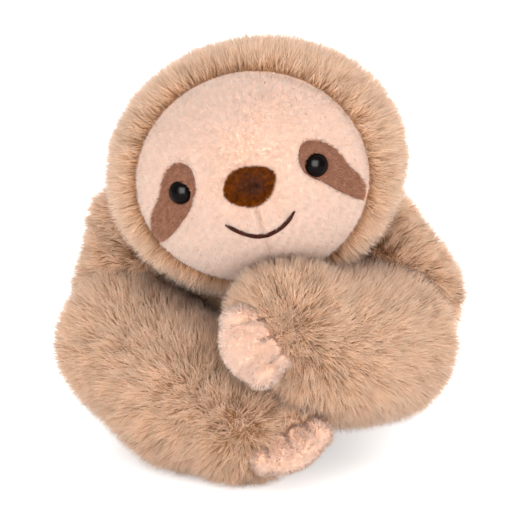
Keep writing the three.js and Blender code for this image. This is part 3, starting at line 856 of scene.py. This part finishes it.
def makeMouth():
    thread = threadMaterial("satinThreadBrown", "#240802", "#421606", 0.7)
    flat = catmull(np.array(mouth["points"]) * mm, np.linspace(0, 1, mouth["steps"]))
    line = faceSurface(flat[:, 0], flat[:, 1], mouth["lift"])
    count = np.arange(mouth["steps"])
    ends = np.minimum(1, np.minimum(count, count[::-1]) / mouth["endSteps"])
    ends = mouth["endShare"] + (1 - mouth["endShare"]) * ends
    ridges = 1 + mouth["ridge"] * np.sin(count * mouth["ridgeTurn"])
    made = tube("mouth_stitches", line, mouth["radius"] * ends * ridges, thread)
    fitted(made, "head", "thread", "mouth_stitching")
    # the seam thread is darker than the plush round it: partly the thread's own colour, partly painted shade
    # of the crease along the seam
    seamThreadCreaseShade = threadMaterial("sewingThreadPeachPaintedCreaseShade", "#C99A7C", "#E3B698", 0.8)
    z = np.linspace(mouth["seamFrom"], mouth["seamTo"], 90)
    line = faceSurface(0 * z + head["seamSide"], z, 0.1 * mm)
    seam = tube("chin_seam", line, mouth["seamRadius"], seamThreadCreaseShade, 6)
    fitted(seam, "head", "thread")
    print("mouth ready")


makeMouth()

# Neck ball, torso and pellet bag

torso = {
    "halfWidth": 53 * mm, "halfDepth": 42 * mm, "height": 114 * mm, "square": 3.0,
    "neck": (6.032 * mm, -34.004 * mm, 98.364 * mm), "neckRadius": 21 * mm,
    "headRoom": 5 * mm, "armRoom": 1.5 * mm, "middle": (0.0, 4 * mm, 45 * mm),
    "bagRadius": 24 * mm, "bagHeight": 26 * mm, "bagFloor": 8 * mm, "bagFlat": 0.79,
    "furFrom": 3.2 * mm, "neckSink": 1.5 * mm,
}

# Arms: the fur lies away from a whorl at each wrist, as it is brushed up the arm

joints = {j["name"]: np.array(j["pos_m"]) for j in frame["joints"]}
arms = {
    "right": {
        "line": [joints["elbow_right"], (-0.031, -0.077, 0.0365), (-0.007, -0.0985, 0.0254)],
        "radii": [32.5 * mm, 36 * mm, 26 * mm],
        "upper": [joints["shoulder_right"], (-0.060, -0.025, 0.068)],
        "whorl": (-0.010, -0.119, 0.034),
    },
    "left": {
        "line": [joints["elbow_left"], (0.038, -0.083, 0.0645), (0.0165, -0.099, 0.0835)],
        "radii": [35.5 * mm, 36 * mm, 28 * mm],
        "upper": [joints["shoulder_left"], (0.072, -0.027, 0.072)],
        "whorl": (0.0205, -0.119, 0.0737),
    },
}
upperRadii = [21 * mm, 29.5 * mm]
armPlay = {
    "gap": 0.5 * mm,  # between the upper arm and the forearm
    "whorlWidth": 22 * mm,
    "pawGap": 1.4 * mm, "furSteps": (2 * mm, 5 * mm, 8 * mm),  # how clear of the paw a strand stays
    "shortest": 0.35, "growth": 5 * mm,  # the pile is trimmed round the paw and grows from there
}


def limbReach(points, centres, radii):
    # how far points lie outside a limb, less than nothing inside it
    share = np.linspace(0, 1, 25)
    line = catmull(centres, share)
    radius = np.interp(share, np.linspace(0, 1, len(radii)), radii)
    best = np.full(points.shape[:-1], np.inf)
    for centre, r in zip(line, radius):
        best = np.minimum(best, norm(points - centre, axis=-1) - r)
    return best


def headReach(points):
    # how far points lie outside the head, less than nothing inside it
    return (norm(worldToHead(points) / headSizes, axis=-1) - 1) * head["halfDepth"]


def drawnIn(points, middle, clear):
    # each point comes towards the middle until it is clear of its neighbours
    low = np.zeros(points.shape[:-1])
    high = np.ones(points.shape[:-1])
    free = clear(points)
    for _ in range(18):
        mid = (low + high) / 2
        good = clear(middle + (points - middle) * mid[..., None])
        low = np.where(good, mid, low)
        high = np.where(good, high, mid)
    share = np.where(free, 1, low)
    return middle + (points - middle) * share[..., None]


def torsoClear(points):
    free = headReach(points) > torso["headRoom"]
    for arm in arms.values():
        free &= limbReach(points, arm["line"], arm["radii"]) > torso["armRoom"]
        free &= limbReach(points, arm["upper"], upperRadii) > torso["armRoom"]
    return free


def makeTorso():
    angle = np.linspace(-math.pi / 2, math.pi / 2, 72)[1:-1, None]
    turn = circle(96)[None]
    power = 2 / torso["square"]
    radius = np.cos(angle) ** power
    high = np.sign(np.sin(angle)) * np.abs(np.sin(angle)) ** power
    sink = fur["sink"]
    rings = np.stack([radius * np.cos(turn) * (torso["halfWidth"] - sink),
                      radius * np.sin(turn) * (torso["halfDepth"] - sink),
                      high * (torso["height"] / 2 - sink) + torso["height"] / 2 + 0 * turn], -1)
    skin = furSkin("torso", drawnIn(rings, torso["middle"], torsoClear))

    def keep(roots, normals):
        return roots[:, 2] > torso["furFrom"]

    furOver("torso_fur", skin, "torso", dict(fur, seed=800), furPile, along((0, 0.1, -1)), keep)
    neck = ballGrid(torso["neck"], [torso["neckRadius"] - torso["neckSink"]] * 3)
    neck = closedGrid("neck_skin", neck, furBackingPaintedShade)
    soften(neck, "neck", "fur", 0.7, "neck_filling")
    furOver("neck_fur", neck, "neck", dict(fur, seed=860, length=9 * mm), furPile, along((0, -0.4, -1)))
    # woven polyester: plain cream cloth, so the bag inside tells apart from the brown covers
    bagMaterial = backingMaterial("wovenPolyesterCream", "#D9D3C2", "#EFEADC")
    place = (0, 0, torso["bagFloor"] + torso["bagHeight"] / 2)
    sizes = (torso["bagRadius"], torso["bagRadius"] * torso["bagFlat"], torso["bagHeight"] / 2)
    bag = closedGrid("pellet_bag_cloth", ballGrid(place, sizes), bagMaterial)
    soften(bag, "torso", "pellet_cloth", 0.6, "pellet_bag")
    print("torso ready")


makeTorso()

# Paws and feet: four toes side by side, run together into a mitten

# mm and degrees, in the paw's own frame with the toes towards -Y; a foot's seam is out of its reach
pawForm = {"radius": 7, "length": 18, "spacing": 8, "palm": 20, "palmPlace": -2.2}
footForm = {"radius": 8, "length": 11, "spacing": 8, "palm": 8, "palmPlace": 2.8, "seam": (50, 0, 0)}
paws = {
    "paw_right": dict(pawForm, place=(14.2, -110.8, 29), turn=(33, -25.4, 8.9), seam=(-6, 0, 3),
                      body="forearm_right"),
    "paw_left": dict(pawForm, place=(7.2, -121, 81.4), turn=(48, 59.1, -32.9), seam=(2, 0.17, 0.8),
                     body="forearm_left"),
    "foot_right": dict(footForm, place=(-74, 19, 8.5), turn=(0, 0, -90), body="leg_right"),
    "foot_left": dict(footForm, place=(74, 19, 8.5), turn=(0, 0, 90), body="leg_left"),
}
toeReach = 0.67  # of the paw's length
toeFan = 1.25  # how much wider the toes stand at the seam than their spacing


def worldToPaw(points, paw):
    return (points / mm - paw["place"]) @ turnRows(paw["turn"])


def pawToWorld(local, paw):
    return (local @ turnRows(paw["turn"]).T + paw["place"]) * mm


def pastSeam(local, paw):
    # how far points lie on the wrist's side of the seam, whose edge dips between the toes
    start, slope, scallop = paw["seam"]
    dips = scallop * np.abs(np.sin(local[:, 0] * math.pi / (toeFan * paw["spacing"])))
    return local[:, 1] - (start + slope * local[:, 0] + dips)


def behindSeam(points, paw):
    # true where the long fur of the wrist takes over from the nap
    return pastSeam(worldToPaw(points, paw), paw) > 0


def pawReach(points, name):
    # how far points lie outside the mitten of a paw, less than nothing inside it
    paw = paws[name]
    local = worldToPaw(points, paw)
    best = np.full(len(points), np.inf)
    reach = paw["length"] * toeReach
    for y, sizes in ((paw["palmPlace"], (2 * paw["spacing"], paw["palm"], paw["radius"])),
                     (-reach, (2.4 * paw["spacing"], reach, paw["radius"]))):
        sizes = np.array(sizes)
        far = norm((local - (0, y, 0)) / sizes, axis=1)
        best = np.minimum(best, (far - 1) * sizes.min() * mm)
    return np.where(behindSeam(points, paw), 0.1, best)


def makeArms():
    for number, (side, arm) in enumerate(arms.items()):
        body = f"forearm_{side}"
        skin = furSkin(body, limbGrid(arm["line"], arm["radii"]))
        away = awayFrom(arm["whorl"], armPlay["whorlWidth"])

        def keep(roots, normals):
            higher = [roots + normals * far for far in armPlay["furSteps"]]
            return np.all([pawReach(points, f"paw_{side}") > armPlay["pawGap"] for points in higher], axis=0)

        def shorter(roots):
            grown = step(0, armPlay["growth"], pawReach(roots, f"paw_{side}"))
            return armPlay["shortest"] + (1 - armPlay["shortest"]) * grown

        def clear(points):
            return limbReach(points, arm["line"], arm["radii"]) > armPlay["gap"]

        values = dict(fur, seed=200 + 50 * number, shorter=shorter, lean=0.5, stand=0.92)
        furOver(f"{body}_fur", skin, body, values, furPile, away, keep)
        body = f"upper_arm_{side}"
        rings = drawnIn(limbGrid(arm["upper"], upperRadii), arm["upper"][0], clear)
        skin, values = furSkin(body, rings, False), dict(fur, seed=300 + 50 * number)
        comb = along((-0.55 if side == "right" else 0.55, 0.35, -0.75))
        furOver(f"{body}_fur", skin, body, values, furPile, comb)
    print("arms ready")


makeArms()

# The paws' and feet's own nap, and how their plush is cut and stitched

pawNap = {
    "length": 3.0 * mm, "uneven": 0.5, "lean": 0.4, "stand": 0.85, "steps": 1, "width": 0.32 * mm,
    "tuft": 2.6 * mm, "gather": 0.38, "swirl": 0.2, "loose": 0.35, "density": 10.0, "shadePatch": 3 * mm,
    # the rest in mm and degrees, for the shape under the nap
    "fan": 6, "trim": 1.2, "blunt": 0.8, "web": (0, -8, 0), "webSize": (19.5, 16.5, 5.6),
    "crease": 1.3, "creaseWidth": 0.9, "gap": 1.6, "gapWidth": 1.4, "voxel": 0.9 * mm, "smooth": 8,
}


def joined(name, grids, material):
    # several closed grids in one mesh, which a remesh then runs together
    points, faces = [], []
    for rings in grids:
        rows, sides = rings.shape[:2]
        start = len(points)
        points += list(rings.reshape(-1, 3))
        faces += [tuple(i + start for i in f) for f in gridFaces(rows, sides)]
        faces.append(tuple(start + s for s in range(sides))[::-1])
        faces.append(tuple(start + (rows - 1) * sides + s for s in range(sides)))
    return outward(addMesh(name, points, faces, material))


def creased(skin, paw):
    # three stitched creases run from the wrist seam towards the gaps between the toes
    local = worldToPaw(numbers(skin.data.vertices, "co"), paw)
    depth = np.zeros(len(local))
    seam = paw["seam"][0]
    for off in (-1, 0, 1):
        middle = off * paw["spacing"] * toeFan * (1 - 0.02 * local[:, 1])
        reach = step(seam - 11, seam - 4, local[:, 1]) * (1 - step(7, 12, local[:, 1]))
        across = (local[:, 0] - middle) / pawNap["creaseWidth"]
        depth = np.maximum(depth, np.exp(-across ** 2) * reach)
    edge = pastSeam(local, paw) / pawNap["gapWidth"]
    depth = pawNap["crease"] * depth + pawNap["gap"] * np.exp(-edge ** 2)
    local[:, 2] -= depth * (local[:, 2] > 0)
    skin.data.vertices.foreach_set("co", pawToWorld(local, paw).ravel())
    skin.data.update()


def makePaw(name, paw, number):
    r, length, spacing = paw["radius"], paw["length"], paw["spacing"]
    trim = pawNap["trim"]  # the nap makes up the rest of each toe's thickness
    palm = ballGrid((0, 0, 0), (1, 1, 1), 24, 32)
    palm[..., :2] = np.sign(palm[..., :2]) * np.abs(palm[..., :2]) ** pawNap["blunt"]
    grids = [palm * (2 * spacing + 2 - trim, paw["palm"] - trim, r - trim) + (0, paw["palmPlace"], 0)]
    furred = name.startswith("paw")
    if furred:
        grids.append(ballGrid(pawNap["web"], pawNap["webSize"], 24, 32))
    for i in range(4):
        off = i - 1.5
        reach = length * toeReach * (1.1 - 0.2 * abs(off)) - trim
        toe = ballGrid((0, 0, 0), (r - trim, reach, r - trim), 24, 32)
        toe = toe + (off * spacing, -length * toeReach - length / 2, 0)
        fan = np.array(Matrix.Rotation(math.radians(pawNap["fan"] * off), 3, "Z"))
        grids.append(toe @ fan.T + (0, length / 2, 0))
    skin = joined(f"{name}_plush", [pawToWorld(grid, paw) for grid in grids], faceBackingPaintedShade)
    remeshed(skin, pawNap["voxel"], pawNap["smooth"])
    if furred:
        creased(skin, paw)
    flatten(skin, trim * mm)
    covers = [f"{name}_cover", f"{name}_filling"] if furred else [name]
    soften(skin, paw["body"], "face_plush", 0.85, *covers)
    heel = pawToWorld((0, length * 0.7, 0), paw)
    values = dict(pawNap, seed=900 + 20 * number)

    def keepNap(roots, normals):
        return ~behindSeam(roots, paw)

    furOver(f"{name}_nap", skin, paw["body"], values, facePile, awayFrom(heel), keepNap, "face_plush")

    def keepFur(roots, normals):
        return behindSeam(roots, paw)

    if furred:
        values = dict(fur, seed=980 + 20 * number, length=8 * mm)
        comb = along(turnRows(paw["turn"]) @ (0, 1, 0))
        furOver(f"{name}_fur", skin, paw["body"], values, furPile, comb, keepFur)


for number, (name, paw) in enumerate(paws.items()):
    makePaw(name, paw, number)
print("paws ready")

# Legs, folded behind the elbows

legs = {  # the left one in mm, the right one mirrors it
    "hip": (36, 17, 21.5), "ankle": (60, 19, 16.5), "radii": [22 * mm, 19.5 * mm, 17 * mm],
}


def makeLegs():
    for number, (side, sign) in enumerate((("left", 1), ("right", -1))):
        hip, ankle = (np.array(legs[end]) * mm * [sign, 1, 1] for end in ("hip", "ankle"))
        body = f"leg_{side}"
        skin = furSkin(body, limbGrid([hip, (hip + ankle) / 2, ankle], legs["radii"]))
        values = dict(fur, seed=400 + 50 * number, length=10 * mm)
        furOver(f"{body}_fur", skin, body, values, furPile, along((sign, 0.1, -0.3)))
    print("legs ready")


makeLegs()

# Washers behind the eyes, the CAD pieces themselves: white moulded nylon with a satin surface,
# faintly clouded, so that they read as plastic beside the cream cloth

washerMaterial = grainMaterial("mouldedNylonWhite", "TexNoise", {"Scale": 300.0},
                               [(0.3, "#E9E8E4"), (0.7, "#F4F3F0")], {"Roughness": 0.45})
for side in ("left", "right"):
    washer = frame["nodes"][f"eye_washer_{side}"]
    washer.data.materials.clear()
    washer.data.materials.append(washerMaterial)
print("washers ready")
